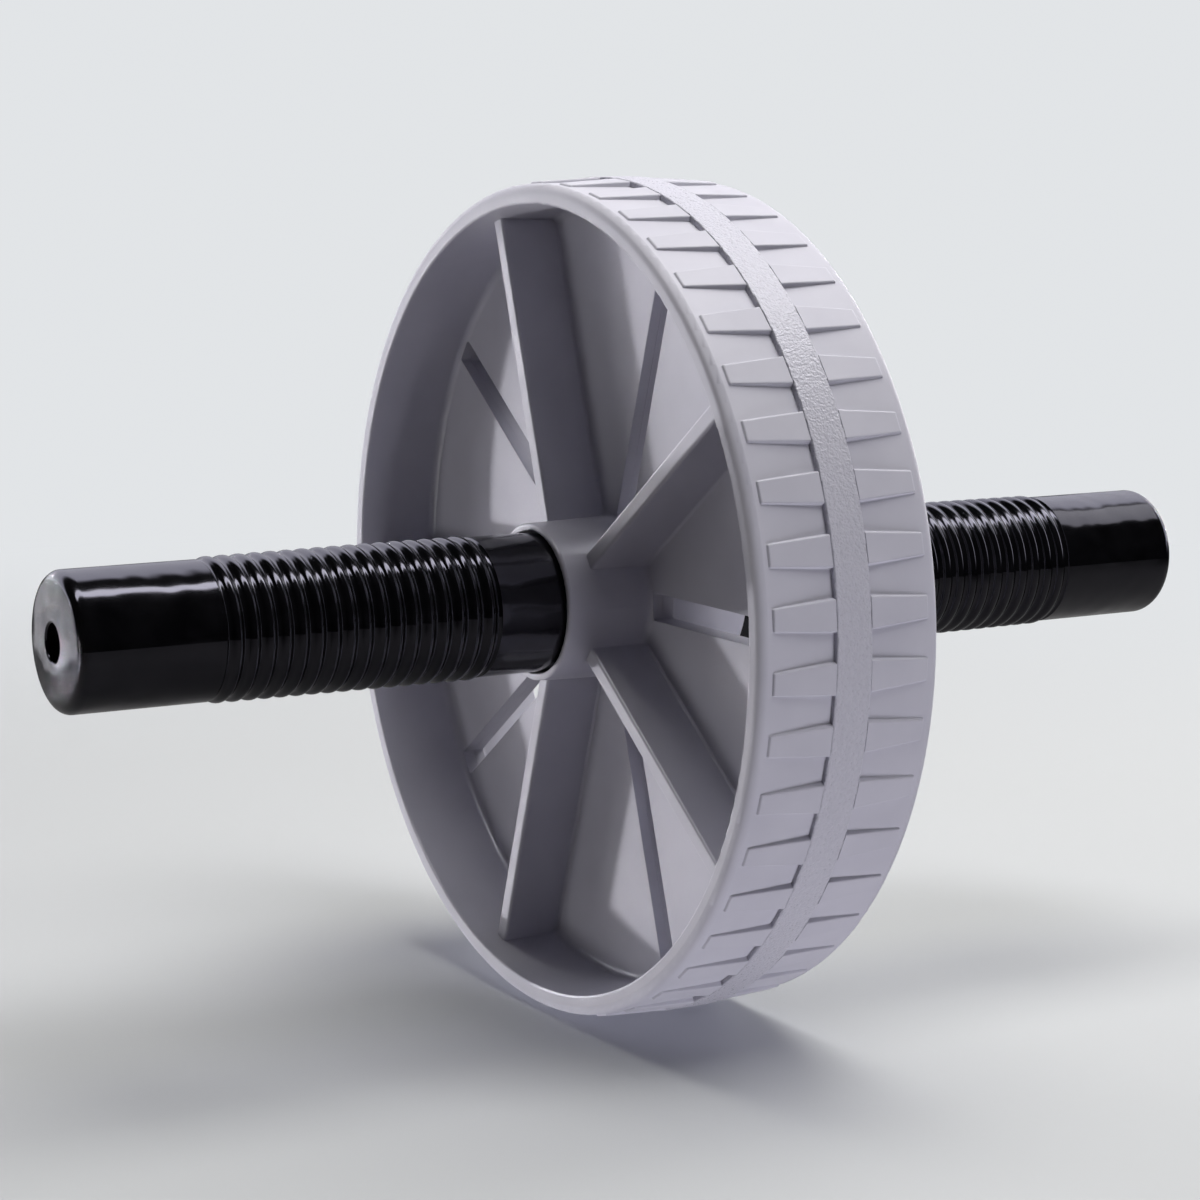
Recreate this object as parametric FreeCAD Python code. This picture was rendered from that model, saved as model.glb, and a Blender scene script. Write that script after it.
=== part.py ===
import FreeCAD, Part
import math
import os

# An ab wheel roller: a wide ribbed wheel of two mouldings that spins on a steel axle tube,
# with a ridged grip pushed on each end of the tube.
# Millimetres, +Z up, the axle along Y. The origin is the middle of the axle.
# Left is -Y and right is +Y.

# Axle tube
tube_diameter = 22.0
tube_wall = 1.5
tube_edge_rounding = 0.4

# Fits
running_clearance = 0.05
seat_clearance = 0.05

# Hub bushes, one from each side, flange to flange at the middle of the wheel
bush_wall = 2.0
bush_flange_width = 1.9
bush_flange_thickness = 1.5
bush_flange_side_clearance = 0.1
bush_flange_rim_clearance = 0.3
bush_end_recess = 0.2
bush_edge_rounding = 0.3

# Thrust washers on the tube, against the grips' inner ends
washer_thickness = 1.2
washer_clearance = 0.1
washer_inset = 0.6

# How far the wheel can slide along the tube, and the gap left at either end of the slide
float_travel = 13.0
float_end_gap = 0.3

# Grips
grip_length = 122.5
grip_wall = 4.15
grip_taper = 0.4
grip_cap_thickness = 4.0
grip_end_rounding = 2.6
grip_end_drop = 0.5
grip_end_bulge = 0.15
grip_root_rounding = 0.8
grip_hole_diameter = 8.0
grip_hole_rounding = 0.5
grip_plain_root_length = 27.6
ridge_count = 17
ridge_pitch = 3.62
ridge_height = 0.45
ridge_crest_share = 0.58
groove_depth = 0.5

# Wheel rim
wheel_diameter = 181.0
rim_width = 43.0
rim_wall = 4.3
rim_draft = 0.8
rim_outer_rounding = 2.0
rim_inner_rounding = 0.5

# Web and its slots
web_thickness = 5.0
web_fillet = 1.6
slot_width = 6.0
slot_hub_margin = 0.8
slot_rim_margin = 0.8
slot_corner_rounding = 0.6

# Ribs from the hub to the rim, midway between the slots
rib_count = 5
rib_phase_deg = 36.0
rib_thickness = 4.4
rib_draft = 0.3
rib_inset = 5.4
rib_edge_rounding = 0.7
rib_foot = 0.5
rib_foot_sink = 0.4

# Hub
hub_length = 45.0
hub_wall = 1.5
hub_draft = 0.5
hub_outer_rounding = 0.7
hub_inner_rounding = 0.4
hub_fillet = 1.2
socket_depth = 14.0
socket_clearance = 0.5

# Tread: two rows of tapered lugs with a raised band between them
lug_count = 45
lug_phase_deg = 5.0
lug_height = 1.15
lug_tip_height = 0.45
lug_root_width = 7.1
lug_tip_width = 4.7
lug_flank_draft = 0.3
lug_end_draft = 0.7
lug_edge_rounding = 0.4
lug_sink = 0.6
lug_shoulder = 3.0
band_width = 8.4
band_rise = 1.3
band_seat_depth = 1.5
band_edge_rounding = 0.35

# Tongue and groove that line the two wheel halves up under the band
tongue_width = 1.4
tongue_height = 1.2
tongue_clearance = 0.1

# How far cutting tools reach past the surface they cut
overrun = 2.0

full_turn_deg = 360.0
quarter_turn_deg = 90.0
centre = FreeCAD.Vector(0, 0, 0)
outwards = FreeCAD.Vector(1, 0, 0)
axle = FreeCAD.Vector(0, 1, 0)
upwards = FreeCAD.Vector(0, 0, 1)

# Radii that follow from the fits
tube_radius = tube_diameter / 2
bush_bore_radius = tube_radius + running_clearance
bush_radius = bush_bore_radius + bush_wall
flange_radius = bush_radius + bush_flange_width
hub_bore_radius = bush_radius + running_clearance
recess_radius = flange_radius + bush_flange_rim_clearance
grip_bore_radius = tube_radius + seat_clearance
grip_root_radius = grip_bore_radius + grip_wall
grip_end_radius = grip_root_radius - grip_taper
grip_hole_radius = grip_hole_diameter / 2
socket_radius = grip_root_radius + socket_clearance
hub_radius = socket_radius + hub_wall
hub_base_radius = hub_radius + hub_draft
wheel_radius = wheel_diameter / 2
rim_mouth_radius = wheel_radius - rim_wall
rim_base_radius = rim_mouth_radius - rim_draft
band_seat_radius = wheel_radius - band_seat_depth

# Places along the axle, measured from the wheel's middle
rim_half_width = rim_width / 2
hub_half_length = hub_length / 2
web_half = web_thickness / 2
recess_depth = bush_flange_thickness + bush_flange_side_clearance
socket_floor = hub_half_length - socket_depth
rib_front = rim_half_width - rib_inset
band_half = band_width / 2
lug_root = band_half - lug_sink
lug_tip = rim_half_width - lug_shoulder

# Places along the axle, measured from the axle's middle
wheel_offset = float_travel / 2
washer_place = wheel_offset + socket_floor + float_end_gap
grip_place = washer_place + washer_thickness
tube_half_length = grip_place + grip_length - grip_cap_thickness

# Ring ridges: crests and grooves are arcs that meet at one slope, a little below the sleeve's surface
crest_width = ridge_pitch * ridge_crest_share
groove_width = ridge_pitch - crest_width
crest_bulge = (ridge_height + groove_depth) * ridge_crest_share
groove_bulge = ridge_height + groove_depth - crest_bulge
ridge_drop = crest_bulge - ridge_height
ridge_zone = ridge_count * ridge_pitch + groove_width


def corner(across, along, rounding=0, bulge=0):
    """A corner of a section: its place, its rounding and the bulge of the side that leaves it."""
    return FreeCAD.Vector(across, along, 0), rounding, bulge


def corner_arc(before, place, after, rounding):
    """The start, middle and end of the arc that rounds a corner."""
    back = (before - place).normalize()
    onward = (after - place).normalize()
    half_angle = back.getAngle(onward) / 2
    inward = (back + onward).normalize()
    reach = rounding / math.tan(half_angle)
    middle = place + inward * (rounding / math.sin(half_angle) - rounding)
    return place + back * reach, middle, place + onward * reach


def side(start, end, bulge):
    """One side of a section, bulged to the right of its direction."""
    if bulge == 0:
        return Part.LineSegment(start, end).toShape()
    run = (end - start).normalize()
    crown = (start + end) / 2 + FreeCAD.Vector(run.y, -run.x, 0) * bulge
    return Part.Arc(start, crown, end).toShape()


def section(corners):
    """A face in the XY plane, its corners in anticlockwise order so that bulges swell outwards."""
    places = [place for place, rounding, bulge in corners]
    arcs = []
    for index, (place, rounding, bulge) in enumerate(corners):
        if rounding == 0:
            arcs.append((place, place, place))
            continue
        after = places[(index + 1) % len(places)]
        arcs.append(corner_arc(places[index - 1], place, after, rounding))
    edges = []
    for index, (place, rounding, bulge) in enumerate(corners):
        arrive, middle, leave = arcs[index]
        if rounding > 0:
            edges.append(Part.Arc(arrive, middle, leave).toShape())
        edges.append(side(leave, arcs[(index + 1) % len(arcs)][0], bulge))
    return Part.Face(Part.Wire(edges))


def turned(corners):
    """A solid turned about the axle from its half section."""
    return section(corners).revolve(centre, axle, full_turn_deg)


def ring(inner_radius, outer_radius, low, high, rounding=0):
    """A plain ring between two places along the axle, its outer edges rounded."""
    return turned([
        corner(inner_radius, low),
        corner(outer_radius, low, rounding),
        corner(outer_radius, high, rounding),
        corner(inner_radius, high),
    ])


def around(shape, angle_deg):
    """A copy of a shape turned about the axle, from +X towards +Z."""
    copy = shape.copy()
    copy.rotate(centre, axle * -1, angle_deg)
    return copy


def spaced(shape, count, phase_deg):
    """Copies of a shape spaced evenly round the axle."""
    step_deg = full_turn_deg / count
    return [around(shape, phase_deg + index * step_deg) for index in range(count)]


def moved(shape, along):
    """A copy of a shape shifted along the axle."""
    copy = shape.copy()
    copy.translate(axle * along)
    return copy


def flipped(shape):
    """The mirror image of a shape across the plane through the centre."""
    return shape.mirror(centre, axle)


def make_tube():
    """The axle tube, its ends against the grips' end caps."""
    bore_radius = tube_radius - tube_wall
    return ring(bore_radius, tube_radius, -tube_half_length, tube_half_length, tube_edge_rounding)


def sleeve_radius(along):
    """The radius of a grip under its ridges, which tapers towards the outer end."""
    taper_share = (along - grip_plain_root_length) / ridge_zone
    return grip_root_radius - grip_taper * taper_share


def make_grip():
    """A grip along +Y from its inner end: plain root, ring ridges, plain end and holed cap."""
    cap_place = grip_length - grip_cap_thickness
    corners = [
        corner(grip_bore_radius, 0),
        corner(grip_root_radius, 0, grip_root_rounding),
        corner(grip_root_radius, grip_plain_root_length, bulge=-groove_bulge),
    ]
    for index in range(ridge_count):
        start = grip_plain_root_length + index * ridge_pitch + groove_width
        end = start + crest_width
        corners.append(corner(sleeve_radius(start) - ridge_drop, start, bulge=crest_bulge))
        corners.append(corner(sleeve_radius(end) - ridge_drop, end, bulge=-groove_bulge))
    corners += [
        corner(grip_end_radius, grip_plain_root_length + ridge_zone),
        corner(grip_end_radius, grip_length - grip_end_drop, grip_end_rounding, grip_end_bulge),
        corner(grip_hole_radius, grip_length, grip_hole_rounding),
        corner(grip_hole_radius, cap_place),
        corner(grip_bore_radius, cap_place),
    ]
    return turned(corners)


def make_bush():
    """The left hub bush, from the middle of the wheel towards -Y."""
    end = -(socket_floor - bush_end_recess)
    return turned([
        corner(bush_bore_radius, end),
        corner(bush_radius, end, bush_edge_rounding),
        corner(bush_radius, -bush_flange_thickness),
        corner(flange_radius, -bush_flange_thickness, bush_edge_rounding),
        corner(flange_radius, 0),
        corner(bush_bore_radius, 0),
    ])


def make_washer():
    """The right thrust washer."""
    inner_radius = tube_radius + washer_clearance
    outer_radius = grip_root_radius - washer_inset
    return ring(inner_radius, outer_radius, washer_place, washer_place + washer_thickness)


def make_rib():
    """A rib of the left wheel half that runs out along +X, its flared foot sunk into the web."""
    foot_half = rib_thickness / 2
    front_half = foot_half - rib_draft
    flare_place = -web_half - rib_foot
    spread = foot_half + rib_foot + rib_foot_sink
    sunk = -web_half + rib_foot_sink
    face = section([
        corner(-front_half, -rib_front, rib_edge_rounding),
        corner(front_half, -rib_front, rib_edge_rounding),
        corner(foot_half, flare_place),
        corner(spread, sunk),
        corner(-spread, sunk),
        corner(-foot_half, flare_place),
    ])
    start = (socket_radius + hub_radius) / 2
    end = (rim_mouth_radius + band_seat_radius) / 2
    rib = face.extrude(upwards * (end - start))
    rib.rotate(centre, axle, quarter_turn_deg)
    rib.translate(outwards * start)
    return rib


def lug_half_width(along, level):
    """Half a lug's width at a place along the axle and a height over the tread."""
    taper_share = (along - lug_root) / (lug_tip - lug_root)
    foot_width = lug_root_width - (lug_root_width - lug_tip_width) * taper_share
    return foot_width / 2 - lug_flank_draft * level / lug_height


def lug_outline(root_level, tip_level):
    """The outline of a lug at given heights over the tread at its root and at its tip."""
    tip = lug_tip - lug_end_draft * tip_level / lug_height
    points = []
    for along, level, sides in ((lug_root, root_level, (-1, 1)), (tip, tip_level, (1, -1))):
        for side_sign in sides:
            across = lug_half_width(along, level) * side_sign
            points.append(FreeCAD.Vector(wheel_radius + level, -along, across))
    return Part.makePolygon(points + points[:1])


def make_lug():
    """A tread lug of the left wheel half at +X, its foot sunk into the rim."""
    foot = lug_outline(-lug_sink, -lug_sink)
    top = lug_outline(lug_height, lug_tip_height)
    block = Part.makeLoft([foot, top], True, True)
    upper = [edge for edge in block.Edges if edge.BoundBox.XMax > wheel_radius]
    return block.makeFillet(lug_edge_rounding, upper)


def make_slot():
    """The cutter for one slot through the web at +X."""
    start = hub_base_radius + slot_hub_margin
    end = rim_base_radius - slot_rim_margin
    reach = web_half + web_fillet + overrun
    corner_place = FreeCAD.Vector(start, -reach, -slot_width / 2)
    block = Part.makeBox(end - start, reach * 2, slot_width, corner_place)
    uprights = [edge for edge in block.Edges if edge.BoundBox.YLength > reach]
    return block.makeFillet(slot_corner_rounding, uprights)


def joined(body, pieces):
    """A body fused with pieces that are all alike round the axle, none of them lost on the way."""
    gain = pieces[0].cut(body).Volume
    whole = body.multiFuse(pieces)
    if abs(whole.Volume - body.Volume - gain * len(pieces)) > gain / 2:
        raise ValueError("a piece was lost in a fuse")
    return whole


def make_wheel_half():
    """The left wheel half without the tongue, from the middle of the wheel towards -Y."""
    body = turned([
        corner(recess_radius, 0),
        corner(recess_radius, -recess_depth),
        corner(hub_bore_radius, -recess_depth),
        corner(hub_bore_radius, -socket_floor),
        corner(socket_radius, -socket_floor),
        corner(socket_radius, -hub_half_length, hub_inner_rounding),
        corner(hub_radius, -hub_half_length, hub_outer_rounding),
        corner(hub_base_radius, -web_half, hub_fillet),
        corner(rim_base_radius, -web_half, web_fillet),
        corner(rim_mouth_radius, -rim_half_width, rim_inner_rounding),
        corner(wheel_radius, -rim_half_width, rim_outer_rounding),
        corner(wheel_radius, 0),
    ])
    ribs = spaced(make_rib(), rib_count, rib_phase_deg)
    lugs = spaced(make_lug(), lug_count, lug_phase_deg)
    slots = spaced(make_slot(), rib_count, 0)
    seat_reach = wheel_radius + lug_height + overrun
    seat = ring(band_seat_radius, seat_reach, -band_half, overrun)
    return joined(joined(body, ribs), lugs).cut(slots + [seat])


def tongue_ring(clearance, low, high):
    """The tongue, or with a clearance the groove it goes in."""
    middle_radius = (rim_base_radius + band_seat_radius) / 2
    half = tongue_width / 2 + clearance
    return ring(middle_radius - half, middle_radius + half, low, high)


def make_band():
    """The raised band that covers the joint of the two wheel halves."""
    inner_radius = band_seat_radius + seat_clearance
    return ring(inner_radius, wheel_radius + band_rise, -band_half, band_half, band_edge_rounding)


def one_solid(shape):
    """The single solid that a shape is made of."""
    solids = shape.Solids
    if len(solids) != 1 or not solids[0].isValid():
        raise ValueError("expected one valid solid, got %d" % len(solids))
    return solids[0]


grip = make_grip()
washer = make_washer()
bush = make_bush()
half = make_wheel_half()
tongue = tongue_ring(0, -tongue_height, tongue_height)
groove = tongue_ring(tongue_clearance, -overrun, tongue_height + tongue_clearance)

nodes = {
    "axle_tube": make_tube(),
    "left_grip": flipped(moved(grip, grip_place)),
    "right_grip": moved(grip, grip_place),
    "left_thrust_washer": flipped(washer),
    "right_thrust_washer": washer,
    "left_hub_bush": moved(bush, -wheel_offset),
    "right_hub_bush": moved(flipped(bush), -wheel_offset),
    "left_wheel_half": moved(half.fuse(tongue), -wheel_offset),
    "right_wheel_half": moved(flipped(half).cut(groove), -wheel_offset),
    "tread_band": moved(make_band(), -wheel_offset),
}

os.makedirs("parts", exist_ok=True)
for name, shape in nodes.items():
    one_solid(shape).exportStep(os.path.join("parts", name + ".step"))
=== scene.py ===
import math
from collections import namedtuple

import bmesh
import bpy
from mathutils import Matrix, Vector


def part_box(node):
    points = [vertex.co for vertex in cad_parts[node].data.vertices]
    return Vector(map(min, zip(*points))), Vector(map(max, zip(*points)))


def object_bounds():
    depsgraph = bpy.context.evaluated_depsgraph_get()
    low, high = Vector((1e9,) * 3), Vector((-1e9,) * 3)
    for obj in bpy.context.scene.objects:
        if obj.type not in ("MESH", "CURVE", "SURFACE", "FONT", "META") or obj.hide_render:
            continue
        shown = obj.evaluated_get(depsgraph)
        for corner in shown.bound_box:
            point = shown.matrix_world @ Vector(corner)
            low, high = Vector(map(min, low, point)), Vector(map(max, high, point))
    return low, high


# The ab wheel roller's looks: procedural finishes on the CAD nodes, a pale floor and soft studio light.
# Metres, in the CAD frame: the axle along Y, +Z up.

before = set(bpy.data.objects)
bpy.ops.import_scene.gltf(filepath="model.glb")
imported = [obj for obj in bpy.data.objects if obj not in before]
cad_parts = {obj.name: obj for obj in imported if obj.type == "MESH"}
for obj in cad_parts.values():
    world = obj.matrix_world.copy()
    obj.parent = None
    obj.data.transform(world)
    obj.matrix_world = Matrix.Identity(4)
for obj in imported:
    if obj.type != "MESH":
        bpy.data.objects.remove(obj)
cad_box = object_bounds()

mm = 0.001
axle = Vector((0, 1, 0))
upwards = Vector((0, 0, 1))

# Camera, fitted to the photograph's frame of photo_px by photo_px
photo_px = 1200
focal_px = 3252.1
sensor_width_mm = 36.0
camera_azimuth_deg = 59.611
camera_elevation_deg = 8.533
camera_distance = 0.720
wheel_centre_px = (620.0, 594.5)

# Stage: the floor's own colour, the colour it gives to what is lit by it and what is glossy, and the
# distances over which it fades into the background
floor_radius = 6.0
floor_segments = 96
floor_fade_start = 0.22
floor_fade_end = 0.8
floor_colour = (0.49, 0.505, 0.54)
floor_bounce_colour = (0.10, 0.09, 0.09)
floor_gloss_colour = (0.19, 0.19, 0.20)
background_colour = (0.76, 0.78, 0.80)

# Glow of the pale wall behind the object, seen in what is glossy, and how dark the room is elsewhere.
# The stops give the share of the glow towards the wall and above the horizon.
wall_direction = Vector((-0.75, 0.42, -0.53))
wall_stops = ((0, 0), (0.12, 1), (0.75, 0.3))
horizon_stops = ((0, 0), (0.15, 1))
wall_glow = 2.6
wall_colour = (0.87, 0.86, 1.0)
room_glow = 0.012

# Lamps: where each stands as seen from the wheel, in degrees and metres, its width and height in metres, its
# power in watts, its tint and whether it shows in glossy reflections, in matt shading or in both
warm = (1.0, 0.98, 0.88)
white = (1.0, 0.985, 0.96)
cool = (0.96, 0.95, 1.0)
Lamp = namedtuple("Lamp", "azimuth elevation distance width height power tint shows")
lamps = {
    "overhead_strip": Lamp(90, 87, 0.93, 0.18, 1.40, 8.5, cool, "gloss"),
    "overhead_softbox": Lamp(-135, 72, 1.0, 0.50, 0.95, 9.5, warm, "matt"),
    "back_softbox": Lamp(175, 52, 1.0, 0.45, 0.45, 1.6, cool, "gloss"),
    "right_high_softbox": Lamp(115, 68, 1.2, 0.50, 0.80, 10.5, white, "matt"),
    "right_softbox": Lamp(98, 8, 1.2, 0.40, 0.60, 1, cool, "matt"),
    "right_low_softbox": Lamp(100, -50, 1.2, 0.50, 0.80, 10, cool, "matt"),
    "left_softbox": Lamp(-60, -10, 1.1, 0.60, 0.60, 1.2, cool, "both"),
    "left_card": Lamp(-46, 0, 0.50, 0.36, 0.17, 0.22, cool, "gloss"),
    "left_window": Lamp(-75, 8, 1.1, 0.40, 0.40, 2.5, cool, "both"),
    "left_key": Lamp(-60, -17.7, 1.1, 0.05, 0.05, 11, white, "matt"),
    "front_fill": Lamp(-10, -12, 1.2, 0.45, 0.45, 2.5, white, "both"),
    "far_side_softbox": Lamp(205, 12, 1.2, 0.60, 0.60, 6, white, "both"),
}
# A lamp above this elevation lies with its height along the axle
steep_deg = 70

# Finishes: two colours that blend, the sizes of blotches and mottling, the least and greatest roughness, and
# the size and depth of the relief
blend_stops = (0.35, 0.65)

wheel_colours = ((0.445, 0.442, 0.512), (0.475, 0.472, 0.542))
wheel_blotch = 14 * mm
wheel_mottle = 5 * mm
wheel_grain = 0.6 * mm
wheel_grain_depth = 0.01 * mm
edge_softness = 0.3 * mm
edge_samples = 4
# Satin as far as the first radius from the axle, matt from the second
satin_roughness = (0.26, 0.36)
matt_roughness = (0.48, 0.60)
satin_radius = 86.5 * mm
matt_radius = 88.5 * mm

band_blotch = 1.0 * mm
band_roughness = (0.18, 0.44)
band_grain = 0.7 * mm
band_grain_depth = 0.22 * mm
band_pebble = 0.5 * mm
band_pebble_depth = 0.10 * mm

grip_colours = ((0.0012, 0.0012, 0.0015), (0.0030, 0.0030, 0.0036))
grip_sheen = (0.86, 0.85, 1.0, 1.0)
grip_blotch = 6 * mm
grip_mottle = 4 * mm
grip_roughness = (0.09, 0.16)
grip_wave = 16 * mm
grip_wave_depth = 0.8 * mm

steel_colours = ((0.50, 0.50, 0.52), (0.62, 0.62, 0.64))
steel_blotch = 2 * mm
steel_mottle = 1 * mm
steel_roughness = (0.24, 0.42)
steel_grain = 0.6 * mm
steel_grain_depth = 0.02 * mm
drawn_stretch = (1, 0.05, 1)
pressed_stretch = (1, 1, 1)

nylon_colours = ((0.74, 0.72, 0.66), (0.80, 0.79, 0.74))
nylon_blotch = 3 * mm
nylon_mottle = 2 * mm
nylon_roughness = (0.35, 0.5)
nylon_grain = 0.8 * mm
nylon_grain_depth = 0.02 * mm


class Finish:
    """A Principled material whose colour, roughness and bump come from procedural nodes."""

    def __init__(self, name, **sockets):
        self.material = bpy.data.materials.new(name)
        self.material.use_nodes = True
        self.nodes = self.material.node_tree.nodes
        self.links = self.material.node_tree.links
        self.shader = self.nodes["Principled BSDF"]
        self.place = self.nodes.new("ShaderNodeTexCoord").outputs["Object"]
        for socket, value in sockets.items():
            self.shader.inputs[socket.replace("_", " ")].default_value = value

    def noise(self, feature, detail, stretch=(1, 1, 1)):
        """Noise whose blotches are about one feature size across."""
        mapping = self.nodes.new("ShaderNodeMapping")
        mapping.inputs["Scale"].default_value = stretch
        self.links.new(self.place, mapping.inputs["Vector"])
        noise = self.nodes.new("ShaderNodeTexNoise")
        noise.inputs["Scale"].default_value = 1 / feature
        noise.inputs["Detail"].default_value = detail
        self.links.new(mapping.outputs["Vector"], noise.inputs["Vector"])
        return noise.outputs["Fac"]

    def cells(self, feature):
        """Distance to the middle of the nearest of many cells, one feature size across."""
        cells = self.nodes.new("ShaderNodeTexVoronoi")
        cells.inputs["Scale"].default_value = 1 / feature
        self.links.new(self.place, cells.inputs["Vector"])
        return cells.outputs["Distance"]

    def colour(self, source, colours):
        """Base colour that blends between two colours along a source."""
        ramp = self.nodes.new("ShaderNodeValToRGB")
        for element, colour, position in zip(ramp.color_ramp.elements, colours, blend_stops):
            element.color = (*colour, 1)
            element.position = position
        self.links.new(source, ramp.inputs["Fac"])
        self.links.new(ramp.outputs["Color"], self.shader.inputs["Base Color"])

    def radius(self):
        """Distance from the axle."""
        across = self.nodes.new("ShaderNodeMapping")
        across.inputs["Scale"].default_value = (1, 0, 1)
        self.links.new(self.place, across.inputs["Vector"])
        length = self.nodes.new("ShaderNodeVectorMath")
        length.operation = "LENGTH"
        self.links.new(across.outputs["Vector"], length.inputs[0])
        return length.outputs["Value"]

    def span(self, source, low, high, start=0.0, stop=1.0):
        """A source's values from start to stop, spread from low to high, which may be sources too."""
        span = self.nodes.new("ShaderNodeMapRange")
        span.inputs["From Min"].default_value = start
        span.inputs["From Max"].default_value = stop
        for socket, value in (("To Min", low), ("To Max", high)):
            if isinstance(value, bpy.types.NodeSocket):
                self.links.new(value, span.inputs[socket])
            else:
                span.inputs[socket].default_value = value
        self.links.new(source, span.inputs["Value"])
        return span.outputs["Result"]

    def roughness(self, source):
        self.links.new(source, self.shader.inputs["Roughness"])

    def soften(self, radius):
        """Edges that catch the light as if rounded to a radius."""
        bevel = self.nodes.new("ShaderNodeBevel")
        bevel.samples = edge_samples
        bevel.inputs["Radius"].default_value = radius
        self.links.new(bevel.outputs["Normal"], self.shader.inputs["Normal"])

    def bump(self, source, depth, strength=1.0):
        """Relief of a real depth, added over any bump made before."""
        bump = self.nodes.new("ShaderNodeBump")
        bump.inputs["Distance"].default_value = depth
        bump.inputs["Strength"].default_value = strength
        self.links.new(source, bump.inputs["Height"])
        before = self.shader.inputs["Normal"].links
        if before:
            self.links.new(before[0].from_socket, bump.inputs["Normal"])
        self.links.new(bump.outputs["Normal"], self.shader.inputs["Normal"])


def wheel_finish():
    """Moulded plastic with faint mottling and softened edges, satin in the dishes and matt on the tread."""
    finish = Finish("wheel_plastic")
    finish.soften(edge_softness)
    finish.colour(finish.noise(wheel_blotch, detail=4), wheel_colours)
    mottle = finish.noise(wheel_mottle, detail=5)
    satin = finish.span(mottle, *satin_roughness)
    matt = finish.span(mottle, *matt_roughness)
    finish.roughness(finish.span(finish.radius(), satin, matt, satin_radius, matt_radius))
    finish.bump(finish.noise(wheel_grain, detail=3), wheel_grain_depth, strength=0.3)
    return finish.material


def band_finish():
    """The same plastic with the coarse sparkling grain of the tread band."""
    finish = Finish("band_plastic")
    finish.colour(finish.noise(band_blotch, detail=4), wheel_colours)
    finish.roughness(finish.span(finish.noise(band_grain, detail=3), *band_roughness))
    finish.bump(finish.noise(band_grain, detail=2), band_grain_depth)
    finish.bump(finish.cells(band_pebble), band_pebble_depth, strength=0.8)
    return finish.material


def grip_finish():
    """Glossy soft black PVC with the slow waviness of a dipped sleeve."""
    finish = Finish("grip_pvc", Specular_Tint=grip_sheen)
    finish.colour(finish.noise(grip_blotch, detail=4), grip_colours)
    finish.roughness(finish.span(finish.noise(grip_mottle, detail=4), *grip_roughness))
    finish.bump(finish.noise(grip_wave, detail=2), grip_wave_depth)
    return finish.material


def steel_finish(name, stretch):
    """Bare steel with a fine grain, drawn out along the axle or the same every way."""
    finish = Finish(name, Metallic=1.0)
    finish.colour(finish.noise(steel_blotch, detail=6, stretch=stretch), steel_colours)
    finish.roughness(finish.span(finish.noise(steel_mottle, detail=5, stretch=stretch), *steel_roughness))
    finish.bump(finish.noise(steel_grain, detail=3, stretch=stretch), steel_grain_depth, strength=0.5)
    return finish.material


def nylon_finish():
    """Natural nylon, waxy and slightly mottled."""
    finish = Finish("bush_nylon", Subsurface_Weight=0.15)
    finish.colour(finish.noise(nylon_blotch, detail=3), nylon_colours)
    finish.roughness(finish.span(finish.noise(nylon_mottle, detail=4), *nylon_roughness))
    finish.bump(finish.noise(nylon_grain, detail=3), nylon_grain_depth, strength=0.5)
    return finish.material


def dress(material, *nodes):
    """Gives CAD nodes their finish."""
    for node in nodes:
        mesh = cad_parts[node].data
        mesh.materials.clear()
        mesh.materials.append(material)


def seen_from(azimuth_deg, elevation_deg):
    """Unit vector towards a viewer or lamp. Azimuth 0 stands at -Y and 90 at +X."""
    azimuth = math.radians(azimuth_deg)
    elevation = math.radians(elevation_deg)
    level = math.cos(elevation)
    return Vector((math.sin(azimuth) * level, -math.cos(azimuth) * level, math.sin(elevation)))


def aim(thing, target, upright):
    """Points a camera or lamp at a target, its own upright as near as can be to the one asked for."""
    back = (thing.location - target).normalized()
    right = upright.cross(back).normalized()
    thing.rotation_euler = Matrix((right, back.cross(right), back)).transposed().to_euler()


def add_object(name, data):
    thing = bpy.data.objects.new(name, data)
    bpy.context.scene.collection.objects.link(thing)
    return thing


def make_camera(wheel_centre):
    """The photograph's camera, turned so that the wheel's centre falls on its pixel with no shift."""
    data = bpy.data.cameras.new("photo_camera")
    data.sensor_width = sensor_width_mm
    data.lens = focal_px / photo_px * sensor_width_mm
    camera = add_object("photo_camera", data)
    back = seen_from(camera_azimuth_deg, camera_elevation_deg)
    right = upwards.cross(back).normalized()
    up = back.cross(right)
    per_px = camera_distance / focal_px
    across = (photo_px / 2 - wheel_centre_px[0]) * per_px
    rise = (wheel_centre_px[1] - photo_px / 2) * per_px
    camera.location = wheel_centre + back * camera_distance
    aim(camera, wheel_centre + right * across + up * rise, upwards)
    bpy.context.scene.camera = camera


def make_lamps(wheel_centre):
    """Rectangular lamps round the wheel, none of them seen by the camera."""
    for name, lamp in lamps.items():
        data = bpy.data.lights.new(name, "AREA")
        data.shape = "RECTANGLE"
        data.size = lamp.width
        data.size_y = lamp.height
        data.energy = lamp.power
        data.color = lamp.tint
        data.cycles.use_multiple_importance_sampling = lamp.shows == "gloss"
        light = add_object(name, data)
        light.location = wheel_centre + seen_from(lamp.azimuth, lamp.elevation) * lamp.distance
        light.visible_camera = False
        light.visible_diffuse = lamp.shows != "gloss"
        light.visible_glossy = lamp.shows != "matt"
        aim(light, wheel_centre, axle if lamp.elevation > steep_deg else upwards)


def add_share(tree, source, stops):
    """Share that follows a source through stops, each a position and its share."""
    ramp = tree.nodes.new("ShaderNodeValToRGB")
    elements = ramp.color_ramp.elements
    while len(elements) < len(stops):
        elements.new(1)
    for element, (position, share) in zip(elements, stops):
        element.position = position
        element.color = (share, share, share, 1)
    tree.links.new(source, ramp.inputs["Fac"])
    return ramp.outputs["Color"]


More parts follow.
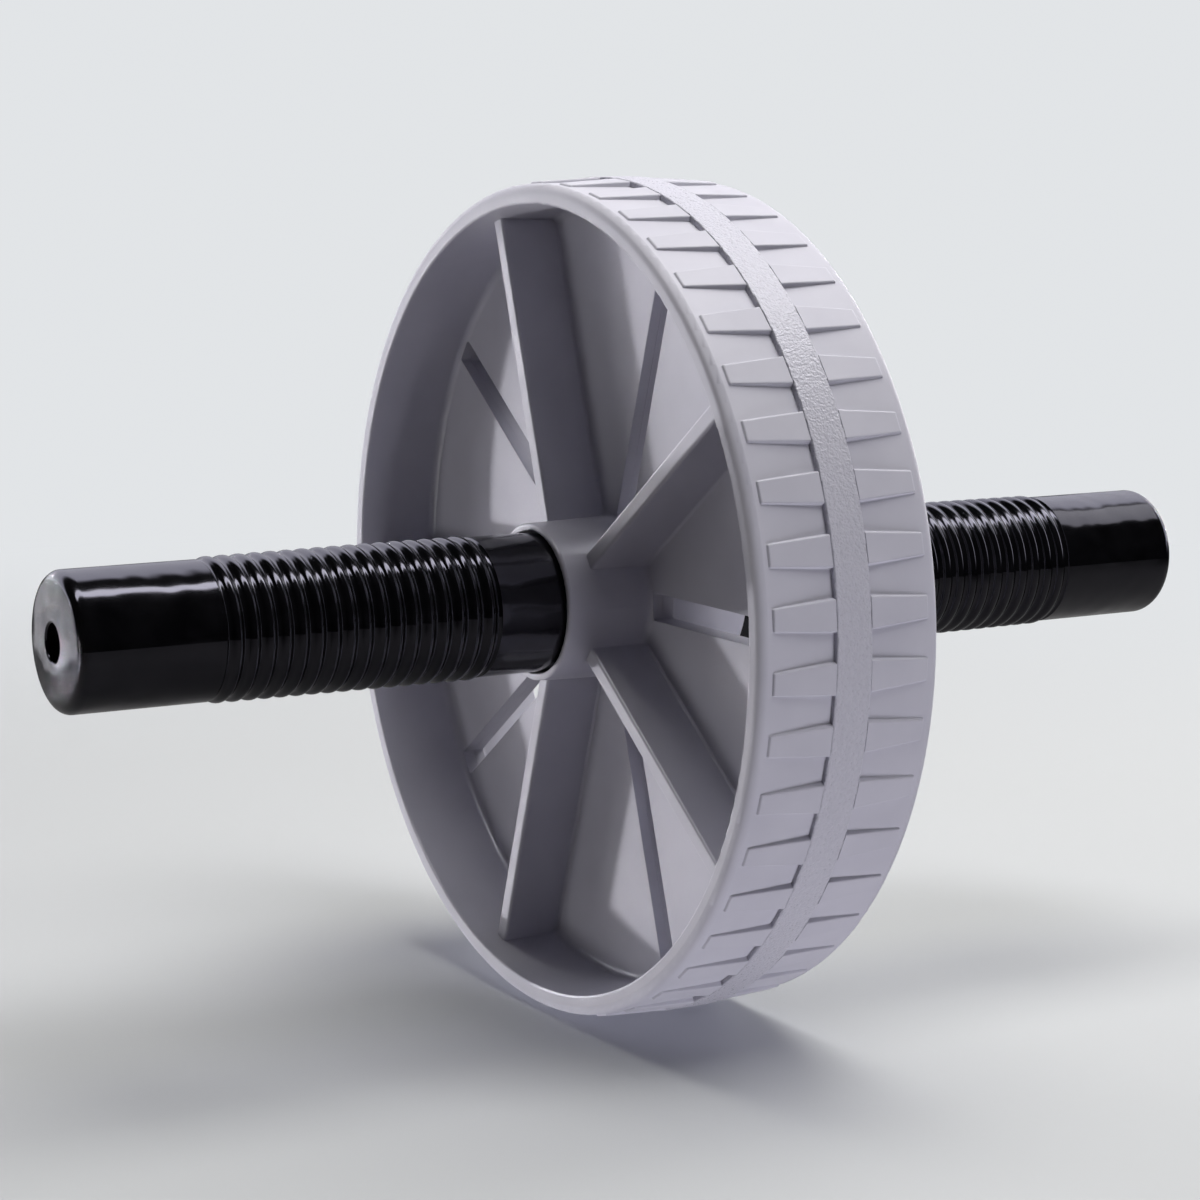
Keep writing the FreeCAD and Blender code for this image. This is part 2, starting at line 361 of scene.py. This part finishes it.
def make_world():
    """A dark room with a pale glowing wall, seen by the camera as an even pale background."""
    world = bpy.data.worlds.new("studio")
    world.use_nodes = True
    bpy.context.scene.world = world
    tree = world.node_tree
    nodes, links = tree.nodes, tree.links
    place = nodes.new("ShaderNodeTexCoord").outputs["Generated"]
    wall = nodes.new("ShaderNodeVectorMath")
    wall.operation = "DOT_PRODUCT"
    wall.inputs[1].default_value = wall_direction.normalized()
    links.new(place, wall.inputs[0])
    height = nodes.new("ShaderNodeSeparateXYZ")
    links.new(place, height.inputs["Vector"])
    path = nodes.new("ShaderNodeLightPath")
    glow = path.outputs["Is Glossy Ray"]
    for source, stops in ((wall.outputs["Value"], wall_stops), (height.outputs["Z"], horizon_stops)):
        narrowed = nodes.new("ShaderNodeMath")
        narrowed.operation = "MULTIPLY"
        links.new(glow, narrowed.inputs[0])
        links.new(add_share(tree, source, stops), narrowed.inputs[1])
        glow = narrowed.outputs["Value"]
    strength = nodes.new("ShaderNodeMapRange")
    strength.inputs["To Min"].default_value = room_glow
    strength.inputs["To Max"].default_value = wall_glow
    links.new(glow, strength.inputs["Value"])
    room = nodes["Background"]
    room.inputs["Color"].default_value = (*wall_colour, 1)
    links.new(strength.outputs["Result"], room.inputs["Strength"])
    backdrop = nodes.new("ShaderNodeBackground")
    backdrop.inputs["Color"].default_value = (*background_colour, 1)
    choose = nodes.new("ShaderNodeMixShader")
    links.new(path.outputs["Is Camera Ray"], choose.inputs["Fac"])
    links.new(room.outputs["Background"], choose.inputs[1])
    links.new(backdrop.outputs["Background"], choose.inputs[2])
    links.new(choose.outputs["Shader"], nodes["World Output"].inputs["Surface"])


def floor_finish():
    """Pale matt floor that fades into the background away from the object and bounces little light at it."""
    finish = Finish("studio_floor", Roughness=0.9, Specular_IOR_Level=0.1)
    nodes, links = finish.nodes, finish.links
    path = nodes.new("ShaderNodeLightPath")
    colour = None
    for ray, other in (("Is Diffuse Ray", floor_bounce_colour), ("Is Glossy Ray", floor_gloss_colour)):
        seen = nodes.new("ShaderNodeMix")
        seen.data_type = "RGBA"
        before, after = [socket for socket in seen.inputs if socket.type == "RGBA"]
        before.default_value = (*floor_colour, 1)
        after.default_value = (*other, 1)
        if colour:
            links.new(colour, before)
        links.new(path.outputs[ray], seen.inputs["Factor"])
        colour = [socket for socket in seen.outputs if socket.type == "RGBA"][0]
    links.new(colour, finish.shader.inputs["Base Color"])
    distance = nodes.new("ShaderNodeVectorMath")
    distance.operation = "LENGTH"
    links.new(finish.place, distance.inputs[0])
    fade = nodes.new("ShaderNodeMapRange")
    fade.interpolation_type = "SMOOTHSTEP"
    fade.inputs["From Min"].default_value = floor_fade_start
    fade.inputs["From Max"].default_value = floor_fade_end
    links.new(distance.outputs["Value"], fade.inputs["Value"])
    far = nodes.new("ShaderNodeEmission")
    far.inputs["Color"].default_value = (*background_colour, 1)
    links.new(path.outputs["Is Camera Ray"], far.inputs["Strength"])
    choose = nodes.new("ShaderNodeMixShader")
    links.new(fade.outputs["Result"], choose.inputs["Fac"])
    links.new(finish.shader.outputs["BSDF"], choose.inputs[1])
    links.new(far.outputs["Emission"], choose.inputs[2])
    links.new(choose.outputs["Shader"], nodes["Material Output"].inputs["Surface"])
    return finish.material


def make_floor(height):
    """A wide round floor under the wheel, which lets the lamps below it shine through."""
    shape = bmesh.new()
    bmesh.ops.create_circle(shape, cap_ends=True, segments=floor_segments, radius=floor_radius)
    mesh = bpy.data.meshes.new("studio_floor")
    shape.to_mesh(mesh)
    shape.free()
    mesh.materials.append(floor_finish())
    floor = add_object("studio_floor", mesh)
    floor.location.z = height
    floor.visible_shadow = False


dress(wheel_finish(), "left_wheel_half", "right_wheel_half")
dress(band_finish(), "tread_band")
dress(grip_finish(), "left_grip", "right_grip")
dress(steel_finish("tube_steel", drawn_stretch), "axle_tube")
dress(steel_finish("washer_steel", pressed_stretch), "left_thrust_washer", "right_thrust_washer")
dress(nylon_finish(), "left_hub_bush", "right_hub_bush")

band_low, band_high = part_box("tread_band")
wheel_centre = (band_low + band_high) / 2
make_camera(wheel_centre)
make_lamps(wheel_centre)
make_world()
make_floor(cad_box[0].z)
bpy.context.scene.view_settings.view_transform = "Standard"
